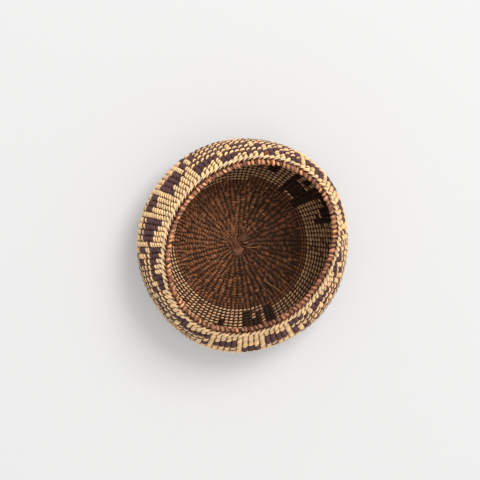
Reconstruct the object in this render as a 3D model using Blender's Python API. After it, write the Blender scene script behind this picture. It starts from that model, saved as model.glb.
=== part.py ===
"""A small twined bowl basket with a flat floor, a wide belly and an incurved oval mouth.

Metres, +Z up. The origin is on the underside, in the middle of the floor. Angles are counted
about Z from +X. The wall is followed along its outer face by arc length, from the middle of
the floor to the mouth, and by depth, square to that face and into the wall.
"""

import math

import bmesh
import bpy
from mathutils import Vector
from mathutils.geometry import interpolate_bezier

# Outer face of the weave
FLOOR_RADIUS = 0.0330
HEEL_RADIUS = 0.0464
BELLY_RADIUS = 0.0752
BELLY_HEIGHT = 0.0217
MOUTH_RADIUS = 0.0602
MOUTH_HEIGHT = 0.0482

# How far each end of a stretch of the wall holds its direction
HEEL_PULL = 0.0140
LOWER_BELLY_PULL = 0.0145
UPPER_BELLY_PULL = 0.0105
MOUTH_PULL = 0.0118
MOUTH_LEAN = math.radians(41.0)

# The mouth has been squeezed out of round, and the belly a little with it
OVAL_DIRECTION = math.radians(43.0)
OVAL_AT_BELLY = 0.0004
OVAL_AT_MOUTH = 0.0045

# Layers of the wall, from the outside in
WEFT_THICKNESS = 0.0009
WARP_THICKNESS = 0.0008
LAYER_CLEARANCE = 0.00035
BAND_CLEARANCE = 0.0003

# Warps, the stiff shoots that the weft is twined round
WARP_COUNT = 108
WARP_WIDTH = 0.0010
WARP_GAP_AT_HUB = 0.00025

# One twined round of weft, as tall as it shows on the wall
ROUND_HEIGHT = 0.0022

# Start knot in the middle of the floor
KNOT_RADIUS = 0.0042
KNOT_CROWN_RADIUS = 0.0013
KNOT_RISE = 0.0018
KNOT_DIMPLE = 0.0005

# Bound edge of the mouth
RIM_CORD_WIDTH = 0.0034
RIM_CORD_THICKNESS = 0.0034
RIM_CORD_SIDES = 10

# Fineness of the solids
SIDES_ROUND = 60
HEEL_STEPS = 1
LOWER_STEPS = 5
FIGURED_STEPS = 4
CURVE_SAMPLES = 240
KNOT_STEPS = 4
WELD = 1e-7
SHARP_ANGLE = math.radians(40.0)

# Depths of the layers below the outer face
OUTER_WEFT = (0.0, WEFT_THICKNESS)
WARP_LAYER_TOP = WEFT_THICKNESS + LAYER_CLEARANCE
WARP_LAYER = (WARP_LAYER_TOP, WARP_LAYER_TOP + WARP_THICKNESS)
INNER_WEFT_TOP = WARP_LAYER[1] + LAYER_CLEARANCE
INNER_WEFT = (INNER_WEFT_TOP, INNER_WEFT_TOP + WEFT_THICKNESS)
WALL_THICKNESS = INNER_WEFT[1]

# The warps lie side by side, as one plate, inside this radius
HUB_RADIUS = WARP_COUNT * (WARP_WIDTH + WARP_GAP_AT_HUB) / (2.0 * math.pi)

# Colour and roughness of each material
BROWN_ROOT = ((0.125, 0.060, 0.032), 0.80)
STRAW = ((0.780, 0.560, 0.300), 0.55)
FIGURED = ((0.360, 0.240, 0.150), 0.60)
SHADED_STRAW = ((0.340, 0.210, 0.105), 0.65)
SPECKLED = ((0.250, 0.160, 0.110), 0.60)
RIM_BROWN = ((0.420, 0.180, 0.085), 0.65)
WARP_WOOD = ((0.300, 0.180, 0.090), 0.75)


def clear_scene():
    """Takes away whatever the scene held before."""
    for thing in list(bpy.data.objects):
        bpy.data.objects.remove(thing, do_unlink=True)


def outer_face_points():
    """The outer face of the weave in section, as radius and height, from the middle to the mouth."""
    floor_edge = Vector((FLOOR_RADIUS, 0.0, 0.0))
    belly = Vector((BELLY_RADIUS, 0.0, BELLY_HEIGHT))
    mouth = Vector((MOUTH_RADIUS, 0.0, MOUTH_HEIGHT))
    mouth_handle = Vector((math.cos(MOUTH_LEAN), 0.0, -math.sin(MOUTH_LEAN))) * MOUTH_PULL
    lower = interpolate_bezier(floor_edge, floor_edge + Vector((HEEL_PULL, 0.0, 0.0)),
                               belly - Vector((0.0, 0.0, LOWER_BELLY_PULL)), belly, CURVE_SAMPLES)
    upper = interpolate_bezier(belly, belly + Vector((0.0, 0.0, UPPER_BELLY_PULL)),
                               mouth + mouth_handle, mouth, CURVE_SAMPLES)
    return [Vector((0.0, 0.0, 0.0))] + lower + upper[1:]


def running_measures(points):
    """Arc length at each point, and a count of bends that grows fastest where the face turns most."""
    arcs, bends = [0.0], [0.0]
    earlier = points[1] - points[0]
    for before, after in zip(points, points[1:]):
        step = after - before
        arcs.append(arcs[-1] + step.length)
        bends.append(bends[-1] + math.sqrt(step.angle(earlier) * step.length))
        earlier = step
    return arcs, bends


OUTER_FACE = outer_face_points()
ARCS, BENDS = running_measures(OUTER_FACE)


def read_off(value, known, wanted):
    """The wanted measure where a known one, which only grows, reaches a value."""
    index = 1
    while index < len(known) - 1 and known[index] < value:
        index += 1
    share = (value - known[index - 1]) / (known[index] - known[index - 1])
    return wanted[index - 1] + share * (wanted[index] - wanted[index - 1])


FLOOR_EDGE_ARC = ARCS[1]
HEEL_ARC = read_off(HEEL_RADIUS, [point.x for point in OUTER_FACE[:CURVE_SAMPLES]], ARCS)
BELLY_ARC = ARCS[CURVE_SAMPLES]
MOUTH_ARC = ARCS[-1]
LIGHT_ROUND_ARC = MOUTH_ARC - 2.0 * ROUND_HEIGHT
SPECKLED_ROUND_ARC = MOUTH_ARC - ROUND_HEIGHT


def oval_at_height(height):
    """How far the wall stands out of round at a height of its outer face."""
    if height <= BELLY_HEIGHT:
        return OVAL_AT_BELLY * height / BELLY_HEIGHT
    share = (height - BELLY_HEIGHT) / (MOUTH_HEIGHT - BELLY_HEIGHT)
    return OVAL_AT_BELLY + (OVAL_AT_MOUTH - OVAL_AT_BELLY) * share


def wall_frame(arc):
    """Point of the outer face at an arc length, the way up the wall and the way into it."""
    index = 1
    while index < len(ARCS) - 1 and ARCS[index] < arc:
        index += 1
    before, after = OUTER_FACE[index - 1], OUTER_FACE[index]
    along = (after - before).normalized()
    point = before + along * (arc - ARCS[index - 1])
    inward = Vector((-along.z, 0.0, along.x))
    return point, along, inward


def wall_point(arc, depth):
    """Radius, height and ovalness of a point of the wall."""
    point, _, inward = wall_frame(arc)
    place = point + inward * depth
    return place.x, place.z, oval_at_height(point.z)


def oval_radius(radius, oval, angle):
    """Radius at an angle, once the round has been squeezed."""
    return radius + oval * math.cos(2.0 * (angle - OVAL_DIRECTION))


def arc_steps(start, end, steps):
    """Arc lengths from one edge of a band to the other, closest where the wall turns most."""
    low, high = read_off(start, ARCS, BENDS), read_off(end, ARCS, BENDS)
    inner = [read_off(low + (high - low) * step / steps, BENDS, ARCS) for step in range(1, steps)]
    return [start] + inner + [end]


def material(name, look):
    """A dry plant fibre of one colour."""
    colour, roughness = look
    fibre = bpy.data.materials.new(name)
    fibre.use_nodes = True
    shader = fibre.node_tree.nodes["Principled BSDF"]
    shader.inputs["Base Color"].default_value = (*colour, 1.0)
    shader.inputs["Roughness"].default_value = roughness
    shader.inputs["Metallic"].default_value = 0.0
    return fibre


def add_object(name, shape, look):
    """Turns a finished bmesh into a named object of its own material."""
    bmesh.ops.recalc_face_normals(shape, faces=shape.faces)
    mesh = bpy.data.meshes.new(name)
    shape.to_mesh(mesh)
    shape.free()
    mesh.shade_smooth()
    mesh.set_sharp_from_angle(angle=SHARP_ANGLE)
    mesh.materials.append(material(name + "_fibre", look))
    thing = bpy.data.objects.new(name, mesh)
    bpy.context.scene.collection.objects.link(thing)
    return thing


def turned_solid(name, section, look, closed=True):
    """Spins a section about Z, then squeezes every round of it to its own oval."""
    shape = bmesh.new()
    oval_layer = shape.verts.layers.float.new("oval")
    corners = []
    for radius, height, oval in section:
        corner = shape.verts.new((radius, 0.0, height))
        corner[oval_layer] = oval
        corners.append(corner)
    pairs = list(zip(corners, corners[1:]))
    if closed:
        pairs.append((corners[-1], corners[0]))
    edges = [shape.edges.new(pair) for pair in pairs]
    bmesh.ops.spin(shape, geom=corners + edges, cent=(0.0, 0.0, 0.0), axis=(0.0, 0.0, 1.0),
                   angle=2.0 * math.pi, steps=SIDES_ROUND, use_merge=True)
    bmesh.ops.remove_doubles(shape, verts=shape.verts, dist=WELD)
    for corner in shape.verts:
        radius = math.hypot(corner.co.x, corner.co.y)
        if radius > WELD:
            angle = math.atan2(corner.co.y, corner.co.x)
            grown = oval_radius(radius, corner[oval_layer], angle) / radius
            corner.co.x *= grown
            corner.co.y *= grown
    return add_object(name, shape, look)


def weft_band(name, start, end, steps, layer, look):
    """One layer of weft between two arc lengths, with half a band's clearance at each edge."""
    half = BAND_CLEARANCE / 2.0
    arcs = arc_steps(start, end, steps)
    arcs[0] += half
    arcs[-1] -= half
    outer = [wall_point(arc, layer[0]) for arc in arcs]
    inner = [wall_point(arc, layer[1]) for arc in reversed(arcs)]
    return turned_solid(name, outer + inner, look)


def outer_floor():
    """The underside of the floor, a whole disc."""
    edge = FLOOR_RADIUS - BAND_CLEARANCE / 2.0
    section = [(0.0, OUTER_WEFT[0], 0.0), (edge, OUTER_WEFT[0], 0.0),
               (edge, OUTER_WEFT[1], 0.0), (0.0, OUTER_WEFT[1], 0.0)]
    return turned_solid("outer_floor_weft", section, BROWN_ROOT, closed=False)


def inner_floor():
    """The top of the floor, a disc with the start knot in its middle."""
    edge = FLOOR_RADIUS - BAND_CLEARANCE / 2.0
    hole = KNOT_RADIUS + BAND_CLEARANCE
    section = [(hole, INNER_WEFT[0], 0.0), (edge, INNER_WEFT[0], 0.0),
               (edge, INNER_WEFT[1], 0.0), (hole, INNER_WEFT[1], 0.0)]
    return turned_solid("inner_floor_weft", section, BROWN_ROOT)


def start_knot():
    """The lashing over the crossed warps, a low dome with a dimple, standing on their plate."""
    foot = WARP_LAYER[1] + BAND_CLEARANCE
    crown = WALL_THICKNESS + KNOT_RISE
    section = [(0.0, foot, 0.0), (KNOT_RADIUS, foot, 0.0), (KNOT_RADIUS, WALL_THICKNESS, 0.0)]
    for step in range(1, KNOT_STEPS + 1):
        turn = 0.5 * math.pi * step / KNOT_STEPS
        radius = KNOT_RADIUS - (KNOT_RADIUS - KNOT_CROWN_RADIUS) * math.sin(turn) ** 2
        section.append((radius, WALL_THICKNESS + KNOT_RISE * math.sin(turn), 0.0))
    section.append((0.0, crown - KNOT_DIMPLE, 0.0))
    return turned_solid("start_knot", section, BROWN_ROOT, closed=False)


def rim_cord():
    """The bound edge, a cord laid over the ends of both weft layers and the warps."""
    point, along, inward = wall_frame(MOUTH_ARC)
    rise = BAND_CLEARANCE / 2.0 + RIM_CORD_THICKNESS / 2.0
    centre = point + inward * (WALL_THICKNESS / 2.0) + along * rise
    section = []
    for side in range(RIM_CORD_SIDES):
        turn = 2.0 * math.pi * side / RIM_CORD_SIDES
        place = (centre + inward * (RIM_CORD_WIDTH / 2.0 * math.cos(turn))
                 + along * (RIM_CORD_THICKNESS / 2.0 * math.sin(turn)))
        section.append((place.x, place.z, OVAL_AT_MOUTH))
    return turned_solid("rim_cord", section, RIM_BROWN)


def warp_arcs():
    """Arc lengths at which a warp bends, the same as the bands that hide it."""
    return ([HUB_RADIUS]
            + arc_steps(FLOOR_EDGE_ARC, HEEL_ARC, HEEL_STEPS)
            + arc_steps(HEEL_ARC, BELLY_ARC, LOWER_STEPS)[1:]
            + arc_steps(BELLY_ARC, LIGHT_ROUND_ARC, FIGURED_STEPS)[1:]
            + [MOUTH_ARC - BAND_CLEARANCE / 2.0])


def warp_corners(shape, arc, angle):
    """Three corners of a split shoot: two on its flat side, inside, and one on its bark."""
    outward = Vector((math.cos(angle), math.sin(angle), 0.0))
    sideways = Vector((-math.sin(angle), math.cos(angle), 0.0)) * (WARP_WIDTH / 2.0)
    corners = []
    for depth, side in ((WARP_LAYER[1], -1.0), (WARP_LAYER[1], 1.0), (WARP_LAYER[0], 0.0)):
        radius, height, oval = wall_point(arc, depth)
        place = outward * oval_radius(radius, oval, angle) + sideways * side
        place.z = height
        corners.append(shape.verts.new(place))
    return corners


def warps():
    """All the warps, one plate at the hub from which they run out and up to the mouth."""
    shape = bmesh.new()
    roots = []
    for count in range(WARP_COUNT):
        angle = 2.0 * math.pi * count / WARP_COUNT
        stations = [warp_corners(shape, arc, angle) for arc in warp_arcs()]
        roots.append(stations[0])
        for low, high in zip(stations, stations[1:]):
            for first in range(3):
                second = (first + 1) % 3
                shape.faces.new((low[first], low[second], high[second], high[first]))
        shape.faces.new(stations[-1])
    for here, following in zip(roots, roots[1:] + roots[:1]):
        shape.faces.new((here[1], following[0], following[2], here[2]))
    shape.faces.new([corner for root in roots for corner in root[:2]])
    shape.faces.new([root[2] for root in reversed(roots)])
    return add_object("warps", shape, WARP_WOOD)


def build():
    """The whole basket, from the floor up."""
    clear_scene()
    outer_floor()
    inner_floor()
    start_knot()
    warps()
    bands = (("heel_weft", FLOOR_EDGE_ARC, HEEL_ARC, HEEL_STEPS, BROWN_ROOT, BROWN_ROOT),
             ("lower_wall_weft", HEEL_ARC, BELLY_ARC, LOWER_STEPS, FIGURED, SHADED_STRAW),
             ("figured_weft", BELLY_ARC, LIGHT_ROUND_ARC, FIGURED_STEPS, FIGURED, SHADED_STRAW))
    for name, start, end, steps, outer_look, inner_look in bands:
        weft_band("outer_" + name, start, end, steps, OUTER_WEFT, outer_look)
        weft_band("inner_" + name, start, end, steps, INNER_WEFT, inner_look)
    weft_band("light_round", LIGHT_ROUND_ARC, SPECKLED_ROUND_ARC, 1, OUTER_WEFT, STRAW)
    weft_band("speckled_round", SPECKLED_ROUND_ARC, MOUTH_ARC, 1, OUTER_WEFT, SPECKLED)
    weft_band("inner_top_rounds", LIGHT_ROUND_ARC, MOUTH_ARC, 1, INNER_WEFT, SHADED_STRAW)
    rim_cord()


build()
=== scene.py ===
"""The looks of a small twined bowl basket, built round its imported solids.

Metres, +Z up, in the frame of the solids. The wall is followed as in the part: by arc length
along its outer face, from the middle of the floor to the mouth, and by depth into the wall.
Every strand of weft that shows is laid over its own warp, round by round.
"""

import math

import bpy
import numpy as np
from mathutils import Matrix, Vector


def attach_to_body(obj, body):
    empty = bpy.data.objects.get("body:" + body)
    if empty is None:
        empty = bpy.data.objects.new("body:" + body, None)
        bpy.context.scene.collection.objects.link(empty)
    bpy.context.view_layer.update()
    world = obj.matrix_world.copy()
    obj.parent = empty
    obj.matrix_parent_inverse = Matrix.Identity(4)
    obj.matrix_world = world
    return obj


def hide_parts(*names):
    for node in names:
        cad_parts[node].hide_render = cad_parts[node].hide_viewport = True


# Outer face of the weave, as in the part
FLOOR_RADIUS = 0.0330
HEEL_RADIUS = 0.0464
BELLY_RADIUS = 0.0752
BELLY_HEIGHT = 0.0217
MOUTH_RADIUS = 0.0602
MOUTH_HEIGHT = 0.0482
HEEL_PULL = 0.0140
LOWER_BELLY_PULL = 0.0145
UPPER_BELLY_PULL = 0.0105
MOUTH_PULL = 0.0118
MOUTH_LEAN = math.radians(41.0)
OVAL_DIRECTION = math.radians(43.0)
OVAL_AT_BELLY = 0.0004
OVAL_AT_MOUTH = 0.0045
WALL_THICKNESS = 0.0033
CURVE_SAMPLES = 400

# The hand's unevenness, as swells of the belly and of the mouth: how many go round, how far they
# stand out and on which side
BELLY_SWELLS = ((3, 0.0002, math.radians(49.0)), (4, 0.0003, math.radians(-25.0)),
                (5, 0.0004, math.radians(-31.0)))
MOUTH_SWELLS = ((1, 0.0006, math.radians(118.0)), (3, 0.0003, math.radians(5.0)),
                (4, 0.0004, math.radians(41.0)), (5, 0.0002, math.radians(13.0)))

# Warps: where the first one meets the mouth, how they crowd round the bowl, and how far they lean
# in each round, all over and in waves
WARP_COUNT = 108
WARP_STEP = 2.0 * math.pi / WARP_COUNT
FIRST_WARP = math.radians(152.7)
WARP_DRIFTS = ((1, math.radians(1.21), math.radians(120.4)),
               (2, math.radians(1.85), math.radians(-21.9)),
               (3, math.radians(0.41), math.radians(-106.5)))
WARP_LEAN = math.radians(0.22)
LEAN_WAVES = ((1, math.radians(0.11), math.radians(11.0)), (2, math.radians(0.10), math.radians(177.0)))

# The height of a round by which the warps' lean is counted, and how much lower the rounds run on
# one side than on the other
ROUND_HEIGHT = 0.0022
ROUND_SWAY = 0.07
SWAY_SIDE = math.radians(105.0)
# The stretch under the edge, whose lower end sways by itself. It holds two rounds, of which the
# upper one shows only inside: outside, slanted strands cover it.
EDGE_HEIGHT = 0.0055
EDGE_SWAY = 0.0006
EDGE_SIDE = math.radians(168.0)
EDGE_ROUNDS = 2
# Rounds in the other stretches: down to the belly, down to the heel, and in to the knot
FIGURED_ROUNDS = 13
LOWER_ROUNDS = 18
FLOOR_ROUNDS = 22
KNOT_RADIUS = 0.0042
# Warps are added as the floor widens: from each radius on there are so many
FLOOR_WARPS = ((0.0, 14), (0.0065, 27), (0.0160, 36), (0.0240, 54), (0.0390, 81), (0.0435, 108))

# Strands just under the bound edge: how far below the mouth each row lies and how far it stands
# out. The slanted ones are laid between two warps, the dark ones at every second warp.
SLANTED_ROWS = (0.0012, 0.0024)
SLANTED_LIFT = 0.0003
SLANTED_SHIFT = 0.3
SPECKLED_ROW = 0.0004
SPECKLED_LIFT = 0.0008
SPECKLED_STEP = 2
# How far the strands of the underside are lifted, so that none dips into the table
UNDERSIDE_LIFT = 0.0003

# Bound edge: the gap under it, its radius, how far the small wraps between the large ones are
# sunk, how uneven the wraps' spacing is, how far below the mouth their direction is taken, and
# the steps of the core they go round
RIM_GAP = 0.00015
RIM_RADIUS = 0.0017
RIM_SINK = 0.0004
RIM_JITTER = 0.08
RIM_FOOT = 0.001
RIM_CORE_STEPS = 180

# Tints from 0 to 1: their mean, how much more on one side, and the spread by chance. On the floor
# that side is painted light: the floor is lighter and redder where the window lights it. On the rim
# it is the rosy side.
FLOOR_TINT = 0.42
FLOOR_PAINTED_LIGHT = 0.28
FLOOR_CHANCE = 0.17
FLOOR_JITTER = 0.05
FLOOR_LIT_SIDE = math.radians(165.0)
RIM_TINT = 0.45
RIM_ROSINESS = 0.45
RIM_CHANCE = 0.4
ROSY_SIDE = math.radians(300.0)

# Camera and framing, from the photograph
PHOTO_SIDE = 480
PIXEL_SIZE = 0.00070
VIEW_DISTANCE = 1.200
VIEW_LEAN = math.radians(12.2)
VIEW_SIDE = math.radians(169.5)
VIEW_NEAR = 0.01
VIEW_FAR = 20.0
AIM_PIXELS = (3.65, 5.3)
SENSOR = 36.0

# Light: which side and how high the window stands, how far off, how wide and how strong, and the
# even light of the room
KEY_SIDE = math.radians(57.0)
KEY_HEIGHT = math.radians(53.0)
KEY_DISTANCE = 3.0
KEY_WIDTH = 1.6
KEY_POWER = 66.0
ROOM_LIGHT = 0.84

# Table: how far it reaches, its paper, and the glow that only the eye sees, with its share
TABLE_REACH = 4.0
TABLE_COLOUR = (0.645, 0.640, 0.636, 1.0)
TABLE_ROUGHNESS = 0.9
TABLE_SPECULAR = 0.1
TABLE_GLOW = (0.87, 0.87, 0.872, 1.0)
TABLE_LIFT = 0.24

# Dyes of single strands
LIGHT_DYE = 0.0
BROWN_DYE = 0.5
DARK_DYE = 1.0
# The weaver's chart: for each warp, the rounds counted down from the edge at which straw and
# dark change over. The three figures have their middles at warps 0, 36 and 72.
FIGURE_TURNS = (
    # Warps 0 to 35
    (8, 13), (9, 13), (), (3, 10, 11, 12),
    (4, 10, 11, 12), (5, 10, 11, 12), (5, 10, 11, 12), (6, 7),
    (1, 6, 8, 12), (2, 6, 7, 8, 13), (3, 6, 7, 8, 9, 13), (4, 6),
    (4, 6), (1, 6), (1, 4, 7), (1, 4, 5, 8),
    (3, 4, 5, 6, 9), (3, 4, 5, 6, 7, 9), (3, 4, 5, 6, 7, 9), (3, 4, 5, 6, 7, 9),
    (3, 4, 5, 6, 9), (3, 5, 6, 8), (2, 5, 8), (1, 6),
    (4, 6), (4, 6), (3, 6), (3, 5, 6, 7),
    (2, 5, 7, 10), (), (5, 8), (4, 8),
    (4, 8), (3, 8, 10, 11), (), (8, 13),
    # Warps 36 to 71
    (7, 13), (8, 13), (), (3, 9),
    (3, 9, 10, 12), (4, 9), (4, 9), (),
    (1, 4, 5, 11), (1, 4, 5, 6, 11), (2, 4, 5, 6, 8, 12), (3, 5),
    (5, 6, 7, 8, 10, 12), (2, 6), (2, 5, 8), (2, 5, 6, 8),
    (3, 5, 6, 7, 10), (3, 5, 6, 7, 8, 10), (4, 5, 6, 7, 8, 10), (4, 5, 8, 10),
    (3, 5, 10), (1, 4, 5, 8), (1, 3, 6, 7, 9), (1, 5, 6, 7, 9),
    (2, 4, 5, 6, 9), (2, 3, 5, 6, 9), (2, 3, 4, 5, 6, 7, 9), (2, 3, 8),
    (1, 3, 4, 6), (), (4, 7), (4, 7),
    (4, 7), (3, 8), (), (7, 13),
    # Warps 72 to 107
    (6, 13), (6, 13), (), (2, 7),
    (2, 7), (4, 7), (3, 7), (),
    (0, 4, 5, 8), (1, 4, 5), (2, 4, 5, 6, 8, 10), (3, 5, 6, 7, 9),
    (4, 6), (1, 5, 7), (1, 4, 7), (2, 4, 5, 8),
    (3, 4, 5, 6, 9), (2, 4, 5, 6, 7, 9), (3, 4, 5, 6, 7, 9), (3, 4, 5, 6, 7, 9),
    (2, 4, 5, 6, 9), (1, 4, 5), (1, 4, 7), (4, 6),
    (4, 6), (3, 6), (3, 6, 7, 8, 9, 13), (2, 6, 7, 8, 12),
    (8, 12), (6, 7), (6, 11), (5, 11),
    (5, 11), (4, 11), (), (9, 13),
)
# Between these warps the stripes go on round by round, down to the last round of the figures
STRIPED_WARPS = ((9, 26), (45, 63), (81, 98))
STRIPE_END = 13
# Below the belly the figures are mirrored: this is the sum of a round and the one that repeats
# it. From the brown round on, the foot of the wall is brown.
FIGURE_MIRROR_ROUND = 27
BROWN_ROUND = 28
# Single strands of another colour, by warp and round
BROWN_SPOTS = ((86, 1), (86, 2), (64, 1))
STRAW_SPOTS = ((104, 5),)

# The lashing in the middle of the floor, as strands through three spots, in millimetres, and how
# high each stands, in metres; then the strands and the loose fibres round it
KNOT_STRANDS = (
    ((-6.0, 3.4), (-4.6, -0.6), (-1.8, -4.6), 0.0014),
    ((-4.4, 4.2), (-2.8, 0.2), (0.2, -3.8), 0.0017),
    ((-2.8, 4.6), (-1.2, 0.8), (1.6, -2.8), 0.0019),
    ((-1.2, 4.6), (0.4, 1.4), (2.6, -1.6), 0.0018),
    ((-2.0, 3.8), (2.2, 4.6), (6.2, 7.2), 0.0021),
    ((-1.4, 5.2), (2.4, 6.2), (5.4, 8.2), 0.0017),
    ((0.4, 2.6), (3.4, 3.2), (6.8, 5.4), 0.0017),
    ((-4.2, -3.4), (-0.4, -7.0), (3.4, -3.2), 0.0014),
    ((-3.2, -2.8), (-0.2, -5.4), (2.8, -2.4), 0.0016),
    ((-2.2, -2.0), (0.0, -3.8), (2.2, -1.4), 0.0018),
    ((3.2, 1.6), (5.4, 0.9), (7.6, 2.0), 0.0012),
)
FLOOR_STRANDS = (
    ((1.0, 13.4), (2.8, 10.6), (4.4, 7.2), 0.0013),
    ((-7.4, 13.2), (-7.2, 10.8), (-7.0, 8.4), 0.0011),
    ((-4.9, 13.6), (-4.8, 11.0), (-4.4, 8.0), 0.0012),
    ((-3.4, 13.4), (-3.2, 10.6), (-2.8, 7.6), 0.0011),
    ((4.2, -2.2), (7.6, -1.0), (11.4, 0.9), 0.0013),
    ((-9.4, 1.0), (-7.8, -0.8), (-6.6, -3.6), 0.0011),
    ((-4.6, -5.8), (-1.4, -7.8), (2.4, -6.6), 0.0010),
)
LOOSE_FIBRES = (
    ((-11.8, 9.2), (-10.2, 5.4), (-7.6, 2.9), 0.0016),
    ((-9.0, 7.8), (-7.6, 9.6), (-6.9, 10.6), 0.0015),
    ((4.3, -2.0), (10.0, -2.4), (16.2, -1.3), 0.0014),
    ((-39.1, -26.5), (-37.0, -25.4), (-35.6, -23.7), 0.0030),
    ((-14.6, -23.0), (-11.4, -21.0), (-9.0, -18.1), 0.0014),
    ((20.4, -27.2), (28.4, -32.6), (37.2, -39.1), 0.0050),
    ((-17.0, 16.0), (-13.2, 14.6), (-10.4, 11.6), 0.0014),
    ((9.4, 17.8), (10.6, 12.6), (13.6, 8.8), 0.0013),
)
# How deep the ends of those strands start in the floor, how many spots each is drawn through, and
# how they narrow towards their ends: the least girth, and where on its half wave each begins
LAID_SINK = 0.0006
LAID_SPOTS = 12
LAID_GIRTH = 0.35
LAID_TURN = 0.15

# Shoots of the wall and of the floor: how many spots each is drawn through, how far those of the
# wall reach into the floor, and how far those of one ring of the floor reach past it
WALL_SHOOT_SPOTS = 40
FLOOR_SHOOT_SPOTS = 4
WALL_SHOOT_LAP = 0.002
FLOOR_SHOOT_LAP = 0.001
FIRST_SHOOT_SPOT = 0.0001

# Black patches on the inside: first and last warp, first and last round
LINING_PATCHES = (
    (1, 2, 25, 29), (4, 5, 20, 31), (29, 29, 26, 26), (30, 30, 20, 28), (35, 36, 29, 31),
    (35, 37, 20, 28), (38, 38, 26, 30), (39, 39, 20, 25), (40, 41, 20, 31), (65, 65, 24, 26),
    (65, 67, 20, 23), (66, 66, 25, 25), (68, 69, 20, 21), (70, 71, 20, 31), (72, 72, 25, 29),
    (73, 73, 20, 23), (73, 74, 25, 29), (75, 75, 22, 31), (79, 80, 24, 26), (102, 102, 20, 28),
    (107, 107, 20, 31),
)
# Warps between which the brown of the floor comes further up the inside, and from which round
LINING_FOOT = (40, 83, 31)
# Painted light and shade: the inside is painted paler from the first of these warps round to the
# second, on the side that faces the window, and a little darker elsewhere. One strand in twenty is a
# stray brown one.
LINING_LIT_WARPS = (103, 34)
LINING_PAINTED_SHADE = 0.14
STRAY_SHARE = 0.05

# A strand over a warp is made for one distance between warps and one height of a round, and fitted
# to its place. Straw ones lie fuller than dark ones.
NOMINAL_PITCH = 0.0040
NOMINAL_ROUND = 0.0021
LIGHT_FULLNESS = 1.14
FULLNESS_LOSS = 0.20
# How round its section is, from 1 for round down to 0 for square, and how late it narrows
SECTION_ROUNDNESS = 0.8
END_TAPER = 3.0
# Its sizes. The bend is the turn of half a strand, in radians; the slant, the end width and the
# unevenness are shares of its own sizes, and the sides and steps are those of its mesh.
OUTER_STITCH = {"Length": 0.0046, "Width": 0.0018, "Thickness": 0.0014, "Bend": 1.2,
                "Slant": 0.46, "End width": 0.42, "Unevenness": 0.12, "Sides": 8, "Steps": 5}
INNER_STITCH = {"Length": 0.0043, "Width": 0.0012, "Thickness": 0.0009, "Bend": 1.05,
                "Slant": 0.16, "End width": 0.5, "Unevenness": 0.12, "Sides": 6, "Steps": 5}
FLOOR_STITCH = {"Length": 0.0042, "Width": 0.0021, "Thickness": 0.0011, "Bend": 1.15,
                "Slant": 0.22, "End width": 0.45, "Unevenness": 0.24, "Sides": 6, "Steps": 5}
EDGE_STITCH = {"Length": 0.0068, "Width": 0.00105, "Thickness": 0.0013, "Bend": 0.65,
               "Slant": 0.36, "End width": 0.5, "Unevenness": 0.11, "Sides": 8, "Steps": 6}
SPOT_STITCH = {"Length": 0.0036, "Width": 0.0012, "Thickness": 0.0010, "Bend": 0.80,
               "Slant": 0.60, "End width": 0.5, "Unevenness": 0.07, "Sides": 8, "Steps": 5}
RIM_WRAP = {"Length": 0.0058, "Width": 0.0023, "Thickness": 0.0013, "Bend": 2.2,
            "Slant": 0.30, "End width": 0.6, "Unevenness": 0.26, "Sides": 8, "Steps": 8, "Seed": 200}
RIM_FILL = {"Length": 0.0053, "Width": 0.0016, "Thickness": 0.0010, "Bend": 2.2,
            "Slant": 0.30, "End width": 0.7, "Unevenness": 0.3, "Sides": 6, "Steps": 7, "Seed": 220}
# How far apart the seeds of the weave's pieces lie
SEED_STEP = 20

# Sizes of strands along a line
WARP_SHOOT = {"Half width": 0.0029, "Half thickness": 0.0005, "Sides": 6}
RIM_CORE = {"Half width": 0.0011, "Half thickness": 0.0011, "Sides": 8}
KNOT_STRAND = {"Half width": 0.0007, "Half thickness": 0.0005, "Sides": 8}
FLOOR_STRAND = {"Half width": 0.0008, "Half thickness": 0.0004, "Sides": 8}
LOOSE_FIBRE = {"Half width": 0.0002, "Half thickness": 0.0002, "Sides": 8}

# Grain of the fibre: how fine it is across, through and along a strand, how far one strand's grain
# lies from the next one's, the noise's scale, detail and roughness, and the span of it that counts
GRAIN_ACROSS = 3.2
GRAIN_THROUGH = 1.2
GRAIN_ALONG = 0.9
GRAIN_SHIFT = 40.0
GRAIN_NOISE = (2.2, 3.0, 0.65)
GRAIN_SPAN = (0.3, 0.7)
# How much of a streak's strength its light side takes, where on a strand the painted shade of its
# ends starts, where they go under the next strands, and the tint of the yellower strands
LIGHT_STREAK = 0.6
END_SHADE_START = 0.5
AGED_TINT = (1.0, 0.88, 0.73, 1.0)
# Painted shade on a strand's border, where it turns down into the gap: what its sides and the grain
# add to it, the span in which it comes in, the most of it, and how much less of it dark strands take
BORDER_SHADE_SIDES = 0.95
BORDER_SHADE_GRAIN = 0.5
BORDER_SHADE_SPAN = (0.72, 1.18)
BORDER_SHADE_MOST = 0.95
BORDER_SHADE_DYED = -0.5
# Gloss, its spread over the grain, and the grain's relief
FIBRE_SPECULAR = 0.2
ROUGHNESS_SPREAD = 0.1
RELIEF_STRENGTH = 0.35
RELIEF_HEIGHT = 0.0002

rng = np.random.default_rng(7)


# The wall's form

def bezier(first, second, third, fourth):
    """Points of one cubic stretch of the wall in section."""
    t = np.linspace(0.0, 1.0, CURVE_SAMPLES)[:, None]
    corners = [np.array(corner) for corner in (first, second, third, fourth)]
    return (corners[0] * (1 - t) ** 3 + 3 * corners[1] * (1 - t) ** 2 * t
            + 3 * corners[2] * (1 - t) * t ** 2 + corners[3] * t ** 3)


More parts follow.
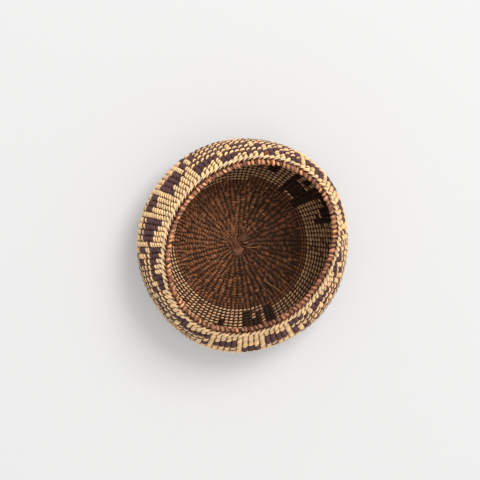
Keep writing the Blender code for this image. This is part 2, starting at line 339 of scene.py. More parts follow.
def outer_face():
    """Radius and height of the outer face, from the middle of the floor to the mouth."""
    handle = (MOUTH_RADIUS + MOUTH_PULL * math.cos(MOUTH_LEAN),
              MOUTH_HEIGHT - MOUTH_PULL * math.sin(MOUTH_LEAN))
    lower = bezier((FLOOR_RADIUS, 0.0), (FLOOR_RADIUS + HEEL_PULL, 0.0),
                   (BELLY_RADIUS, BELLY_HEIGHT - LOWER_BELLY_PULL), (BELLY_RADIUS, BELLY_HEIGHT))
    upper = bezier((BELLY_RADIUS, BELLY_HEIGHT), (BELLY_RADIUS, BELLY_HEIGHT + UPPER_BELLY_PULL),
                   handle, (MOUTH_RADIUS, MOUTH_HEIGHT))
    return np.vstack([[(0.0, 0.0)], lower, upper[1:]])


FACE = outer_face()
ARCS = np.concatenate([[0.0], np.cumsum(np.hypot(*np.diff(FACE, axis=0).T))])
ALONG = np.gradient(FACE, axis=0) / np.linalg.norm(np.gradient(FACE, axis=0), axis=1)[:, None]
OVALS = np.where(FACE[:, 1] <= BELLY_HEIGHT,
                 OVAL_AT_BELLY * FACE[:, 1] / BELLY_HEIGHT,
                 OVAL_AT_BELLY + (OVAL_AT_MOUTH - OVAL_AT_BELLY)
                 * (FACE[:, 1] - BELLY_HEIGHT) / (MOUTH_HEIGHT - BELLY_HEIGHT))
BELLY_SHARES = np.interp(ARCS, (ARCS[1], ARCS[CURVE_SAMPLES], ARCS[-1]), (0.0, 1.0, 0.0))
MOUTH_SHARES = np.interp(ARCS, (ARCS[CURVE_SAMPLES], ARCS[-1]), (0.0, 1.0))
BELLY_ARC = ARCS[CURVE_SAMPLES]
MOUTH_ARC = ARCS[-1]
HEEL_ARC = float(np.interp(HEEL_RADIUS, FACE[:CURVE_SAMPLES, 0], ARCS[:CURVE_SAMPLES]))
LIGHT_ROUND_ARC = MOUTH_ARC - EDGE_HEIGHT


def swell(swells, angle):
    """How far a round of the wall stands out at an angle."""
    return sum(size * np.cos(times * (angle - side)) for times, size, side in swells)


def wave(waves, angle):
    """A drift that rises and falls round the bowl: how many times, how far, and its phase."""
    return sum(size * np.cos(times * angle - phase) for times, size, phase in waves)


def place(arc, depth, angle):
    """Points of the wall at arc lengths, depths and angles, which may be arrays."""
    arc, depth, angle = np.broadcast_arrays(arc, depth, angle)
    past = np.maximum(arc - MOUTH_ARC, 0.0)
    along_r, along_z = np.interp(arc, ARCS, ALONG[:, 0]), np.interp(arc, ARCS, ALONG[:, 1])
    radius = np.interp(arc, ARCS, FACE[:, 0]) + past * along_r - depth * along_z
    height = np.interp(arc, ARCS, FACE[:, 1]) + past * along_z + depth * along_r
    radius = radius + np.interp(arc, ARCS, OVALS) * np.cos(2.0 * (angle - OVAL_DIRECTION))
    radius = radius + np.interp(arc, ARCS, BELLY_SHARES) * swell(BELLY_SWELLS, angle)
    radius = radius + np.interp(arc, ARCS, MOUTH_SHARES) * swell(MOUTH_SWELLS, angle)
    return np.stack([radius * np.cos(angle), radius * np.sin(angle), height], axis=-1)


def unit(vectors):
    """Vectors made one long."""
    return vectors / np.linalg.norm(vectors, axis=-1, keepdims=True)


def directions(arc, depth, angle):
    """Ways round the bowl, up the wall and out of it at points of the wall."""
    turn, step = 0.002, 0.0001
    around = unit(place(arc, depth, angle + turn) - place(arc, depth, angle - turn))
    up = unit(place(arc + step, depth, angle) - place(arc - step, depth, angle))
    return around, up, unit(np.cross(around, up))


# Where warps and rounds run, and how their strands are dyed

def warp_angle(warp, arc):
    """Where a warp of the wall stands at an arc length."""
    angle = FIRST_WARP + WARP_STEP * warp
    climbed = (MOUTH_ARC - np.maximum(arc, HEEL_ARC)) / ROUND_HEIGHT
    return angle + wave(WARP_DRIFTS, angle) + (WARP_LEAN + wave(LEAN_WAVES, angle)) * climbed


def swayed(arc, angle):
    """The arc length that a round of the wall reaches at an angle."""
    down = MOUTH_ARC - arc
    fade = 1.0 - down / (MOUTH_ARC - HEEL_ARC)
    drop = EDGE_SWAY * np.clip(down / EDGE_HEIGHT, 0.0, 1.0) * np.cos(angle - EDGE_SIDE)
    return arc + fade * (drop - ROUND_SWAY * down * np.cos(angle - SWAY_SIDE))


def rounds_between(start, end, count, first):
    """Index from the edge, middle arc and height of each round of a stretch of the wall."""
    height = (end - start) / count
    return [(first + index, end - height * (index + 0.5), height) for index in range(count)]


def figure_dye(warp, count):
    """Dye of the strand over a warp, in a round counted down from the edge."""
    if count > FIGURE_MIRROR_ROUND / 2:
        count = FIGURE_MIRROR_ROUND - count
    if (warp, count) in BROWN_SPOTS:
        return BROWN_DYE
    if (warp, count) in STRAW_SPOTS:
        return LIGHT_DYE
    turns = FIGURE_TURNS[warp]
    changes = sum(turn <= count for turn in turns)
    if any(first <= warp <= last for first, last in STRIPED_WARPS):
        changes += max(0, min(count, STRIPE_END) - turns[-1])
    return DARK_DYE if changes % 2 else LIGHT_DYE


def lining_dye(warp, count):
    """Dye of the strand on the inside of a warp, where black patches and brown ones stand out, with
    painted light: paler on the side that faces the window, a little darker elsewhere.
    """
    for first, last, top, foot in LINING_PATCHES:
        if first <= warp <= last and top <= count <= foot:
            return DARK_DYE
    first, last, top = LINING_FOOT
    if first <= warp <= last and count >= top:
        return BROWN_DYE
    if rng.random() < STRAY_SHARE:
        return BROWN_DYE
    # Painted light and shade: paler strands on the side facing the window, darker ones elsewhere
    first, last = LINING_LIT_WARPS
    return LIGHT_DYE if warp >= first or warp <= last else LINING_PAINTED_SHADE


# Node trees

class Nodes:
    """A node tree written line by line: each call adds a node and gives back an output."""

    def __init__(self, data):
        self.data = data

    def join(self, result, socket):
        """Leads an output to an input."""
        self.data.links.new(result, socket)

    def add(self, kind, inputs=None, output=0, **settings):
        """Adds a node with its settings and inputs."""
        node = self.data.nodes.new(kind)
        for key, value in settings.items():
            setattr(node, key, value)
        for key, value in (inputs or {}).items():
            if isinstance(value, bpy.types.NodeSocket):
                self.join(value, node.inputs[key])
            else:
                node.inputs[key].default_value = value
        return node.outputs[output]

    def math(self, operation, *values, **settings):
        """A sum on one to three numbers."""
        return self.add("ShaderNodeMath", dict(enumerate(values)), operation=operation, **settings)

    def vector(self, first, second, third):
        """A vector of three numbers."""
        return self.add("ShaderNodeCombineXYZ", {0: first, 1: second, 2: third})

    def parts(self, vector):
        """The three numbers of a vector."""
        return list(self.add("ShaderNodeSeparateXYZ", {0: vector}).node.outputs)

    def attribute(self, name, output):
        """What an attribute says where the surface is."""
        return self.add("ShaderNodeAttribute", output=output, attribute_name=name)

    def span(self, value, start, end, low, high):
        """A number moved from one range into another, where it stays."""
        return self.add("ShaderNodeMapRange", {"Value": value, "From Min": start, "From Max": end,
                                               "To Min": low, "To Max": high})

    def mix(self, share, first, second):
        """One colour fading into another: sockets 6 and 7 of a Mix node are its colours."""
        return self.add("ShaderNodeMix", {0: share, 6: first, 7: second}, output=2, data_type="RGBA")


class StrandTree(Nodes):
    """A geometry tree that turns a guide into strands."""

    def __init__(self, name, inputs):
        super().__init__(bpy.data.node_groups.new(name, "GeometryNodeTree"))
        self.data.is_modifier = True
        face = self.data.interface
        face.new_socket("Geometry", in_out="OUTPUT", socket_type="NodeSocketGeometry")
        face.new_socket("Guide", in_out="INPUT", socket_type="NodeSocketGeometry")
        for label, kind in inputs.items():
            face.new_socket(label, in_out="INPUT", socket_type="NodeSocket" + kind)
        self.entry = self.data.nodes.new("NodeGroupInput")

    def given(self, label):
        """An input of the tree."""
        return self.entry.outputs[label]

    def named(self, name, kind="FLOAT"):
        """An attribute that the guide carries."""
        return self.add("GeometryNodeInputNamedAttribute", {"Name": name}, data_type=kind)

    def keep(self, geometry, name, value, kind="FLOAT"):
        """Stores a value on the geometry's points."""
        return self.add("GeometryNodeStoreNamedAttribute",
                        {"Geometry": geometry, "Name": name, "Value": value}, data_type=kind)

    def chance(self, low, high, salt):
        """A random number for each point."""
        seed = self.math("ADD", self.given("Seed"), salt)
        return self.add("FunctionNodeRandomValue", {2: low, 3: high, "Seed": seed}, output=1,
                        data_type="FLOAT")

    def end(self, geometry):
        """Makes the result real, gives it its fibre and hands it out."""
        real = self.add("GeometryNodeRealizeInstances", {"Geometry": geometry})
        dressed = self.add("GeometryNodeSetMaterial",
                           {"Geometry": real, "Material": self.given("Fibre")})
        self.join(dressed, self.data.nodes.new("NodeGroupOutput").inputs[0])


def squared(tree, value):
    """A coordinate of a round section pushed out towards a square with soft corners."""
    return tree.math("MULTIPLY", tree.math("SIGN", value),
                     tree.math("POWER", tree.math("ABSOLUTE", value), SECTION_ROUNDNESS))


def bent_strand(tree):
    """One strand, bent over its warp, slanted to one side and narrower towards its ends."""
    rod = tree.add("GeometryNodeMeshCylinder", {
        "Vertices": tree.given("Sides"), "Side Segments": tree.given("Steps"),
        "Radius": 1.0, "Depth": 2.0}, fill_type="NGON")
    spot = tree.add("GeometryNodeInputPosition")
    across, through, along = tree.parts(spot)
    across, through = squared(tree, across), squared(tree, through)
    taper = tree.math("POWER", tree.math("ABSOLUTE", along), END_TAPER)
    lost = tree.math("MULTIPLY", taper, tree.math("SUBTRACT", 1.0, tree.given("End width")))
    narrowed = tree.math("SUBTRACT", 1.0, lost)
    half_width = tree.math("MULTIPLY", tree.math("MULTIPLY", tree.given("Width"), 0.5), narrowed)
    half_thick = tree.math("MULTIPLY", tree.math("MULTIPLY", tree.given("Thickness"), 0.5), narrowed)
    turn = tree.math("MULTIPLY", along, tree.given("Bend"))
    bow = tree.math("DIVIDE", tree.given("Length"), tree.math("MULTIPLY", tree.given("Bend"), 2.0))
    reach = tree.math("ADD", bow, tree.math("MULTIPLY", through, half_thick))
    slant = tree.math("MULTIPLY", tree.math("MULTIPLY", along, tree.given("Slant")),
                      tree.math("MULTIPLY", tree.given("Length"), 0.5))
    x = tree.math("MULTIPLY", reach, tree.math("SINE", turn))
    y = tree.math("ADD", tree.math("MULTIPLY", across, half_width), slant)
    z = tree.math("SUBTRACT", tree.math("MULTIPLY", reach, tree.math("COSINE", turn)), bow)
    rod = tree.keep(rod, "section", spot, "FLOAT_VECTOR")
    bent = tree.add("GeometryNodeSetPosition", {"Geometry": rod, "Position": tree.vector(x, y, z)})
    return tree.add("GeometryNodeSetShadeSmooth", {"Geometry": bent})


def stitch_tree():
    """Lays a bent, slanted strand over each point of the guide, none quite like the next."""
    tree = StrandTree("laid_strands", {
        "Length": "Float", "Width": "Float", "Thickness": "Float", "Bend": "Float",
        "Slant": "Float", "End width": "Float", "Unevenness": "Float",
        "Sides": "Int", "Steps": "Int", "Seed": "Int", "Fibre": "Material"})
    strand = bent_strand(tree)
    guide = tree.keep(tree.given("Guide"), "tone", tree.chance(0.0, 1.0, 1))
    facing = tree.add("FunctionNodeAxesToRotation", {
        "Primary Axis": tree.named("outward", "FLOAT_VECTOR"),
        "Secondary Axis": tree.named("across", "FLOAT_VECTOR")},
        primary_axis="Z", secondary_axis="X")
    loose = tree.given("Unevenness")
    tilt = tree.vector(*(tree.math("MULTIPLY", tree.chance(-1.0, 1.0, salt), loose)
                         for salt in (2, 3, 4)))
    facing = tree.add("FunctionNodeRotateRotation", {
        "Rotation": facing, "Rotate By": tree.add("FunctionNodeEulerToRotation", {0: tilt})},
        rotation_space="LOCAL")
    growth = tree.vector(*(tree.math("MULTIPLY_ADD", tree.chance(-1.0, 1.0, salt), loose, 1.0)
                           for salt in (5, 6, 7)))
    fitted = tree.add("ShaderNodeVectorMath", {0: tree.named("fit", "FLOAT_VECTOR"), 1: growth},
                      operation="MULTIPLY")
    tree.end(tree.add("GeometryNodeInstanceOnPoints", {
        "Points": guide, "Instance": strand, "Rotation": facing, "Scale": fitted}))
    return tree


def length_tree():
    """Runs a flat or round strand along each line of the guide."""
    tree = StrandTree("run_strands", {
        "Half width": "Float", "Half thickness": "Float", "Sides": "Int", "Fibre": "Material"})
    lines = tree.add("GeometryNodeMeshToCurve", {"Mesh": tree.given("Guide")})
    lines = tree.add("GeometryNodeSetCurveRadius", {"Curve": lines, "Radius": tree.named("girth")})
    lines = tree.add("GeometryNodeSetCurveNormal", {
        "Curve": lines, "Normal": tree.named("outward", "FLOAT_VECTOR")}, mode="FREE")
    ring = tree.add("GeometryNodeCurvePrimitiveCircle", {
        "Resolution": tree.given("Sides"), "Radius": 1.0}, mode="RADIUS")
    ring = tree.keep(ring, "section", tree.add("GeometryNodeInputPosition"), "FLOAT_VECTOR")
    flat = tree.vector(tree.given("Half thickness"), tree.given("Half width"), 1.0)
    ring = tree.add("GeometryNodeTransform", {"Geometry": ring, "Scale": flat})
    skin = tree.add("GeometryNodeCurveToMesh", {
        "Curve": lines, "Profile Curve": ring, "Fill Caps": True})
    tree.end(tree.add("GeometryNodeSetShadeSmooth", {"Geometry": skin}))
    return tree


def grown(name, guide, tree, sizes):
    """The plain mesh that a tree makes from a guide, as a piece of its own."""
    carrier = bpy.data.objects.new(name + "_guide", guide)
    bpy.context.scene.collection.objects.link(carrier)
    modifier = carrier.modifiers.new("weave", "NODES")
    modifier.node_group = tree.data
    for item in tree.data.interface.items_tree:
        if item.item_type == "SOCKET" and item.in_out == "INPUT" and item.name in sizes:
            modifier[item.identifier] = sizes[item.name]
    depsgraph = bpy.context.evaluated_depsgraph_get()
    mesh = bpy.data.meshes.new_from_object(carrier.evaluated_get(depsgraph),
                                           preserve_all_data_layers=True, depsgraph=depsgraph)
    bpy.data.objects.remove(carrier)
    mesh.name = name
    piece = bpy.data.objects.new(name, mesh)
    bpy.context.scene.collection.objects.link(piece)
    return piece


# Guides for the strands

def attach(mesh, name, kind, values):
    """Stores numbers or vectors on a guide's points."""
    layer = mesh.attributes.new(name, kind, "POINT")
    key = "vector" if kind == "FLOAT_VECTOR" else "value"
    layer.data.foreach_set(key, np.asarray(values, dtype=np.float32).ravel())


class Guide:
    """Collects the points that strands are laid over."""

    def __init__(self, inside=False):
        self.inside = inside
        self.rows = {"place": [], "across": [], "outward": [], "fit": [], "dye": []}

    def lay(self, arc, depth, angles, fit, dyes):
        """Adds one round of strands."""
        around, up, out = directions(arc, depth, angles)
        sign = -1.0 if self.inside else 1.0
        self.rows["place"].append(place(arc, depth, angles))
        self.rows["across"].append(sign * around)
        self.rows["outward"].append(sign * out)
        self.rows["fit"].append(np.broadcast_to(fit, around.shape))
        self.rows["dye"].append(np.broadcast_to(dyes, angles.shape))

    def mesh(self, name):
        """The points as a mesh with their attributes."""
        rows = {key: np.concatenate(value) for key, value in self.rows.items()}
        mesh = bpy.data.meshes.new(name + "_points")
        mesh.from_pydata(rows["place"].tolist(), [], [])
        for key in ("across", "outward", "fit"):
            attach(mesh, key, "FLOAT_VECTOR", rows[key])
        attach(mesh, "dye", "FLOAT", rows["dye"])
        return mesh


def line_mesh(name, lines, girths, outwards=None, closed=False):
    """Guide lines as loose edges, with the girth and the outward way of the strand."""
    mesh = bpy.data.meshes.new(name + "_lines")
    edges = []
    start = 0
    for line in lines:
        end = start + len(line)
        edges += [(spot, spot + 1) for spot in range(start, end - 1)]
        if closed:
            edges.append((end - 1, start))
        start = end
    mesh.from_pydata(np.concatenate(lines).tolist(), edges, [])
    if outwards is None:
        outwards = [np.tile((0.0, 0.0, 1.0), (len(line), 1)) for line in lines]
    attach(mesh, "girth", "FLOAT", np.concatenate(girths))
    attach(mesh, "outward", "FLOAT_VECTOR", np.concatenate(outwards))
    for label in ("dye", "tone"):
        attach(mesh, label, "FLOAT",
               np.concatenate([np.full(len(line), rng.uniform()) for line in lines]))
    return mesh


def pitch(arc, depth, count):
    """Mean distance between neighbouring warps, from the radius halfway between the oval's axes."""
    spot = place(arc, depth, OVAL_DIRECTION + math.pi / 4.0)
    return 2.0 * math.pi * math.hypot(spot[0], spot[1]) / count


def wall_guide(rounds, depth, dye, inside=False, warps=range(WARP_COUNT), offset=0.0):
    """Points for rounds of the wall, one over each warp or beside it."""
    guide = Guide(inside)
    warps = np.array(warps)
    for count, arc, height in rounds:
        dyes = np.array([dye(int(warp), count) for warp in warps], dtype=float)
        fit = np.ones((len(warps), 3))
        fit[:, 0] = pitch(arc, depth, WARP_COUNT) / NOMINAL_PITCH
        fit[:, 1] = height / NOMINAL_ROUND
        if not inside:
            fit[:, 1] *= LIGHT_FULLNESS - FULLNESS_LOSS * dyes
        angles = warp_angle(warps + offset, arc)
        guide.lay(swayed(arc, angles), depth, angles, fit, dyes)
    return guide


def floor_guide(depth, inside=False):
    """Points for the rounds of the floor and the heel, over fewer warps towards the middle."""
    guide = Guide(inside)
    for _, arc, height in rounds_between(KNOT_RADIUS, HEEL_ARC, FLOOR_ROUNDS, 0):
        count = [number for radius, number in FLOOR_WARPS if radius <= arc][-1]
        warps = np.arange(count)
        angles = warp_angle(warps * WARP_COUNT / count, arc)
        angles = angles + rng.normal(0.0, FLOOR_JITTER, count) * 2.0 * math.pi / count
        fit = (pitch(arc, depth, count) / NOMINAL_PITCH, height / NOMINAL_ROUND, 1.0)
        # Painted light: the floor's strands are lighter and redder towards the part that the window
        # lights, darker away from it
        tints = FLOOR_TINT + FLOOR_PAINTED_LIGHT * np.cos(angles - FLOOR_LIT_SIDE)
        tints = tints + rng.normal(0.0, FLOOR_CHANCE, count)
        guide.lay(arc, depth, angles, fit, np.clip(tints, 0.0, 1.0))
    return guide


# Fibres and their colours

def dyed(tree, dye, colours):
    """The colour that a strand's dye stands for."""
    ramp = tree.add("ShaderNodeValToRGB", {0: dye}).node
    stops = ramp.color_ramp.elements
    for index, (position, colour) in enumerate(colours):
        stop = stops[index] if index < 2 else stops.new(position)
        stop.position = position
        stop.color = (*colour, 1.0)
    return ramp.outputs[0]


def border_painted_shade(tree, colour, border_shade_colour, dye, grain, across, reach):
    """A strand's colour with painted shade on its border, where it turns into the gap, less of it on
    dark strands.
    """
    side = tree.math("MULTIPLY", tree.math("ABSOLUTE", across), BORDER_SHADE_SIDES)
    border = tree.math("MULTIPLY_ADD", grain, BORDER_SHADE_GRAIN, tree.math("MAXIMUM", side, reach))
    share = tree.math("MULTIPLY", tree.span(border, *BORDER_SHADE_SPAN, 0.0, BORDER_SHADE_MOST),
                      tree.math("MULTIPLY_ADD", dye, BORDER_SHADE_DYED, 1.0))
    return tree.mix(share, colour, (*border_shade_colour, 1.0))


def fibre(name, colours, roughness, spread, ends, streaks=0.5, border_shade_colour=None):
    """Dry plant fibre, dyed by strand: its spread is how far strands differ in light, its ends how
    light the painted shade leaves them where they go under, its streaks the grain's strength, and a
    colour for the border, if given, is painted shade where a strand turns into the gap.
    """
    material = bpy.data.materials.new(name)
    material.use_nodes = True
    tree = Nodes(material.node_tree)
    shader = material.node_tree.nodes["Principled BSDF"]
    dye, tone = tree.attribute("dye", "Fac"), tree.attribute("tone", "Fac")
    across, through, along = tree.parts(tree.attribute("section", "Vector"))
    spot = tree.vector(tree.math("MULTIPLY", across, GRAIN_ACROSS),
                       tree.math("MULTIPLY", through, GRAIN_THROUGH),
                       tree.math("MULTIPLY_ADD", along, GRAIN_ALONG,
                                 tree.math("MULTIPLY", tone, GRAIN_SHIFT)))
    scale, detail, rough = GRAIN_NOISE
    grain = tree.add("ShaderNodeTexNoise", {
        "Vector": spot, "Scale": scale, "Detail": detail, "Roughness": rough})
    reach = tree.math("ABSOLUTE", along)
    colour = tree.add("ShaderNodeVectorMath", {
        0: dyed(tree, dye, colours), 1: tree.mix(tone, (1.0, 1.0, 1.0, 1.0), AGED_TINT)},
        operation="MULTIPLY")
    # Painted shade on the strand's border, where it turns down into the gap
    if border_shade_colour:
        colour = border_painted_shade(tree, colour, border_shade_colour, dye, grain, across, reach)
    value = tree.span(tone, 0.0, 1.0, 1.0 - spread, 1.0 + spread)
    streak = tree.span(grain, *GRAIN_SPAN, 1.0 - streaks, 1.0 + LIGHT_STREAK * streaks)
    # Painted shade towards the strand's ends, where they go under the next strands
    end_shade = tree.span(reach, END_SHADE_START, 1.0, 1.0, ends)
    bright = tree.math("MULTIPLY", tree.math("MULTIPLY", value, streak), end_shade)
    colour = tree.add("ShaderNodeVectorMath", {0: colour, 3: bright}, operation="SCALE")
    gloss = tree.span(grain, *GRAIN_SPAN, roughness + ROUGHNESS_SPREAD, roughness - ROUGHNESS_SPREAD)
    relief = tree.add("ShaderNodeBump", {
        "Height": grain, "Strength": RELIEF_STRENGTH, "Distance": RELIEF_HEIGHT})
    for socket, result in (("Base Color", colour), ("Roughness", gloss), ("Normal", relief)):
        tree.join(result, shader.inputs[socket])
    shader.inputs["Specular IOR Level"].default_value = FIBRE_SPECULAR
    return material


def linear(red, green, blue):
    """A colour seen on the basket, as the light it returns."""

    def channel(value):
        """One channel, by the screen's standard curve."""
        value = value / 255.0
        return value / 12.92 if value <= 0.04045 else ((value + 0.055) / 1.055) ** 2.4

    return channel(red), channel(green), channel(blue)


STRAW = linear(255, 224, 176)
EDGE_STRAW = linear(255, 229, 182)
DARK = linear(80, 66, 75)
# Painted shade: the orange brown on strands' borders, where they turn down into the gaps
PAINTED_GAP_SHADE = linear(160, 82, 34)
TAN = linear(236, 198, 156)
BLACK = linear(30, 24, 24)
BROWN = linear(136, 90, 60)
RED_BROWN = linear(160, 110, 82)
DEEP_BROWN = linear(78, 50, 33)
RIM_TAN = linear(228, 172, 132)
RIM_ROSE = linear(166, 112, 90)
# Painted shade: the darkest brown of the small wraps between the large ones, for the gaps between them
RIM_SHADE_BROWN = linear(104, 66, 46)
WARP_BROWN = linear(64, 40, 24)
KNOT_BROWN = linear(132, 86, 58)
KNOT_ROSE = linear(162, 110, 82)
HAIR_TAN = linear(194, 146, 100)


# Pieces of the basket

def finish_piece(piece, slot, *nodes):
    """Rides the piece on the basket and hides the parts that it stands for."""
    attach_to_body(piece, "root")
    if nodes:
        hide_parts(*nodes)


def outer_dye(warp, count):
    """Dye of the outside of the wall, brown at its foot."""
    return BROWN_DYE if count >= BROWN_ROUND else figure_dye(warp, count)


def straw_dye(warp, count):
    """Dye of a row that is straw all round."""
    return LIGHT_DYE


def dark_dye(warp, count):
    """Dye of a row that is dark all round."""
    return DARK_DYE


def weave_pieces(laid):
    """All the stitched pieces of the weave."""
    # The straw and edge strands take an orange-brown painted shade on their borders, where they turn
    # into the gaps
    figured = fibre("figured_fibre", ((LIGHT_DYE, STRAW), (DARK_DYE, DARK), (BROWN_DYE, BROWN)),
                    roughness=0.55, spread=0.2, ends=0.45, streaks=0.4, border_shade_colour=PAINTED_GAP_SHADE)
    edging = fibre("edge_fibre", ((LIGHT_DYE, EDGE_STRAW), (DARK_DYE, DARK)),
                   roughness=0.55, spread=0.25, ends=0.75, border_shade_colour=PAINTED_GAP_SHADE)
    lining = fibre("lining_fibre", ((LIGHT_DYE, TAN), (DARK_DYE, BLACK), (BROWN_DYE, BROWN)),
                   roughness=0.6, spread=0.25, ends=0.25)
    root = fibre("brown_root_fibre", ((0.0, DEEP_BROWN), (1.0, RED_BROWN), (0.5, BROWN)),
                 roughness=0.65, spread=0.4, ends=0.3, streaks=0.9)
    outer = OUTER_STITCH["Thickness"] / 2.0
    inner = WALL_THICKNESS - INNER_STITCH["Thickness"] / 2.0
    edge_depth = EDGE_STITCH["Thickness"] / 2.0
    floor_top = WALL_THICKNESS - FLOOR_STITCH["Thickness"] / 2.0
    floor_bottom = FLOOR_STITCH["Thickness"] / 2.0 + UNDERSIDE_LIFT
    edge = rounds_between(LIGHT_ROUND_ARC, MOUTH_ARC, EDGE_ROUNDS, 0)
    upper = rounds_between(BELLY_ARC, LIGHT_ROUND_ARC, FIGURED_ROUNDS, EDGE_ROUNDS)
    lower = rounds_between(HEEL_ARC, BELLY_ARC, LOWER_ROUNDS, EDGE_ROUNDS + FIGURED_ROUNDS)
    slanted = [(0, MOUTH_ARC - down, NOMINAL_ROUND) for down in SLANTED_ROWS]
    speckled = [(0, MOUTH_ARC - SPECKLED_ROW, NOMINAL_ROUND)]
    pieces = (
        ("figured_weave", wall_guide(upper, outer, outer_dye), OUTER_STITCH, figured,
         "figured_weft", ("outer_figured_weft",)),
        ("lower_wall_weave", wall_guide(lower, outer, outer_dye), OUTER_STITCH, figured,
         "figured_weft", ("outer_lower_wall_weft",)),
        ("light_strands", wall_guide(edge[1:], outer, outer_dye), OUTER_STITCH, figured,
         "straw", ("light_round",)),
        ("speckled_strands", wall_guide(slanted, edge_depth - SLANTED_LIFT, straw_dye,
                                        offset=SLANTED_SHIFT),
         EDGE_STITCH, edging, "figured_weft", ("speckled_round",)),
        ("speckles", wall_guide(speckled, edge_depth - SPECKLED_LIFT, dark_dye,
                                warps=range(0, WARP_COUNT, SPECKLED_STEP)),
         SPOT_STITCH, edging, "figured_weft", ()),
        ("inner_wall_weave", wall_guide(lower, inner, lining_dye, True), INNER_STITCH, lining,
         "inner_weft", ("inner_lower_wall_weft",)),
        ("inner_shoulder_weave", wall_guide(upper + edge, inner, lining_dye, True), INNER_STITCH,
         lining, "inner_weft", ("inner_figured_weft", "inner_top_rounds")),
        ("underside_weave", floor_guide(floor_bottom), FLOOR_STITCH, root,
         "brown_root", ("outer_floor_weft", "outer_heel_weft")),
        ("floor_weave", floor_guide(floor_top, True), FLOOR_STITCH, root,
         "brown_root", ("inner_floor_weft", "inner_heel_weft")),
    )
    for index, (name, guide, sizes, look, slot, nodes) in enumerate(pieces):
        piece = grown(name, guide.mesh(name), laid,
                      {**sizes, "Seed": index * SEED_STEP, "Fibre": look})
        finish_piece(piece, slot, *nodes)


def rim_guide(offset, sink):
    """Points for wraps round the edge's core, one for each warp."""
    arc = MOUTH_ARC + RIM_GAP + RIM_RADIUS
    depth = WALL_THICKNESS / 2.0
    angles = warp_angle(np.arange(WARP_COUNT) + offset, arc)
    angles = angles + rng.normal(0.0, RIM_JITTER, WARP_COUNT) * WARP_STEP
    around, up, out = directions(np.full(WARP_COUNT, MOUTH_ARC - RIM_FOOT), depth, angles)
    bow = RIM_WRAP["Length"] / (2.0 * RIM_WRAP["Bend"]) - sink
    tints = RIM_TINT + RIM_ROSINESS * np.cos(angles - ROSY_SIDE)
    tints = tints + rng.normal(0.0, RIM_CHANCE, WARP_COUNT)
    guide = Guide()
    guide.rows["place"].append(place(arc, depth, angles) + up * bow)
    guide.rows["across"].append(-out)
    guide.rows["outward"].append(up)
    guide.rows["fit"].append(np.ones((WARP_COUNT, 3)))
    guide.rows["dye"].append(np.clip(tints, 0.0, 1.0))
    return guide


def rim_pieces(laid, run):
    """The bound edge: wraps over the warps' ends, round a core."""
    # The wraps take an orange-brown painted shade on their borders
    binding = fibre("rim_fibre", ((0.0, RIM_TAN), (1.0, RIM_ROSE)),
                    roughness=0.55, spread=0.5, ends=0.45, streaks=0.9, border_shade_colour=PAINTED_GAP_SHADE)
    # The small wraps, sunk between the large ones, are coloured darker: painted shade for the gaps
    # between the wraps
    filling = fibre("rim_gap_shade_fibre", ((0.0, RIM_ROSE), (1.0, RIM_SHADE_BROWN)),
                    roughness=0.6, spread=0.4, ends=0.45, streaks=0.9)
    middle = fibre("rim_core_fibre", ((0.0, WARP_BROWN), (1.0, WARP_BROWN)),
                   roughness=0.7, spread=0.1, ends=1.0)
    large = rim_guide(offset=0.0, sink=0.0).mesh("rim_binding")
    small = rim_guide(offset=0.5, sink=RIM_SINK).mesh("rim_filling")
    piece = grown("rim_binding", large, laid, {**RIM_WRAP, "Fibre": binding})
    finish_piece(piece, "rim_root", "rim_cord")
    finish_piece(grown("rim_filling", small, laid, {**RIM_FILL, "Fibre": filling}), "rim_root")
    turns = np.linspace(0.0, 2.0 * math.pi, RIM_CORE_STEPS + 1)[:-1]
    ring = place(MOUTH_ARC + RIM_GAP + RIM_RADIUS, WALL_THICKNESS / 2.0, turns)
    core = line_mesh("rim_core", [ring], [np.ones(RIM_CORE_STEPS)], closed=True)
    finish_piece(grown("rim_core", core, run, {**RIM_CORE, "Fibre": middle}), "rim_root")


def warp_piece(run):
    """The shoots that the strands go round, seen in the gaps between them."""
    look = fibre("warp_fibre", ((0.0, WARP_BROWN), (1.0, WARP_BROWN)),
                 roughness=0.75, spread=0.3, ends=1.0)
    middle = WALL_THICKNESS / 2.0
    lines, girths, outwards = [], [], []

    def run_warp(arcs, angles, count):
        """Adds one shoot, as wide as the warps' distance there."""
        lines.append(place(arcs, middle, angles))
        girths.append(np.array([pitch(arc, middle, count) for arc in arcs]) / NOMINAL_PITCH)
        outwards.append(directions(arcs, middle, angles)[2])

    arcs = np.linspace(HEEL_ARC - WALL_SHOOT_LAP, MOUTH_ARC, WALL_SHOOT_SPOTS)
    for warp in range(WARP_COUNT):
        run_warp(arcs, warp_angle(warp, arcs), WARP_COUNT)
    ends = [radius for radius, _ in FLOOR_WARPS[1:]] + [HEEL_ARC]
    for (start, count), end in zip(FLOOR_WARPS, ends):
        arcs = np.linspace(max(start - FLOOR_SHOOT_LAP, FIRST_SHOOT_SPOT), end + FLOOR_SHOOT_LAP,
                           FLOOR_SHOOT_SPOTS)
        for warp in range(count):
            run_warp(arcs, warp_angle(warp * WARP_COUNT / count, arcs), count)
    piece = grown("warp_shoots", line_mesh("warp_shoots", lines, girths, outwards), run,
                  {**WARP_SHOOT, "Fibre": look})
    finish_piece(piece, "warp_shoots", "warps")


def laid_line(start, middle, end, lift):
    """A strand on the floor through three spots, in millimetres: up out of it and in again."""
    t = np.linspace(0.0, 1.0, LAID_SPOTS)[:, None]
    spots = [np.array(spot) / 1000.0 for spot in (start, middle, end)]
    bend = 2.0 * spots[1] - (spots[0] + spots[2]) / 2.0
    flat = spots[0] * (1 - t) ** 2 + 2.0 * bend * t * (1 - t) + spots[2] * t ** 2
    rise = WALL_THICKNESS - LAID_SINK + lift * np.sin(math.pi * t) ** 0.5
    return np.hstack([flat, rise])


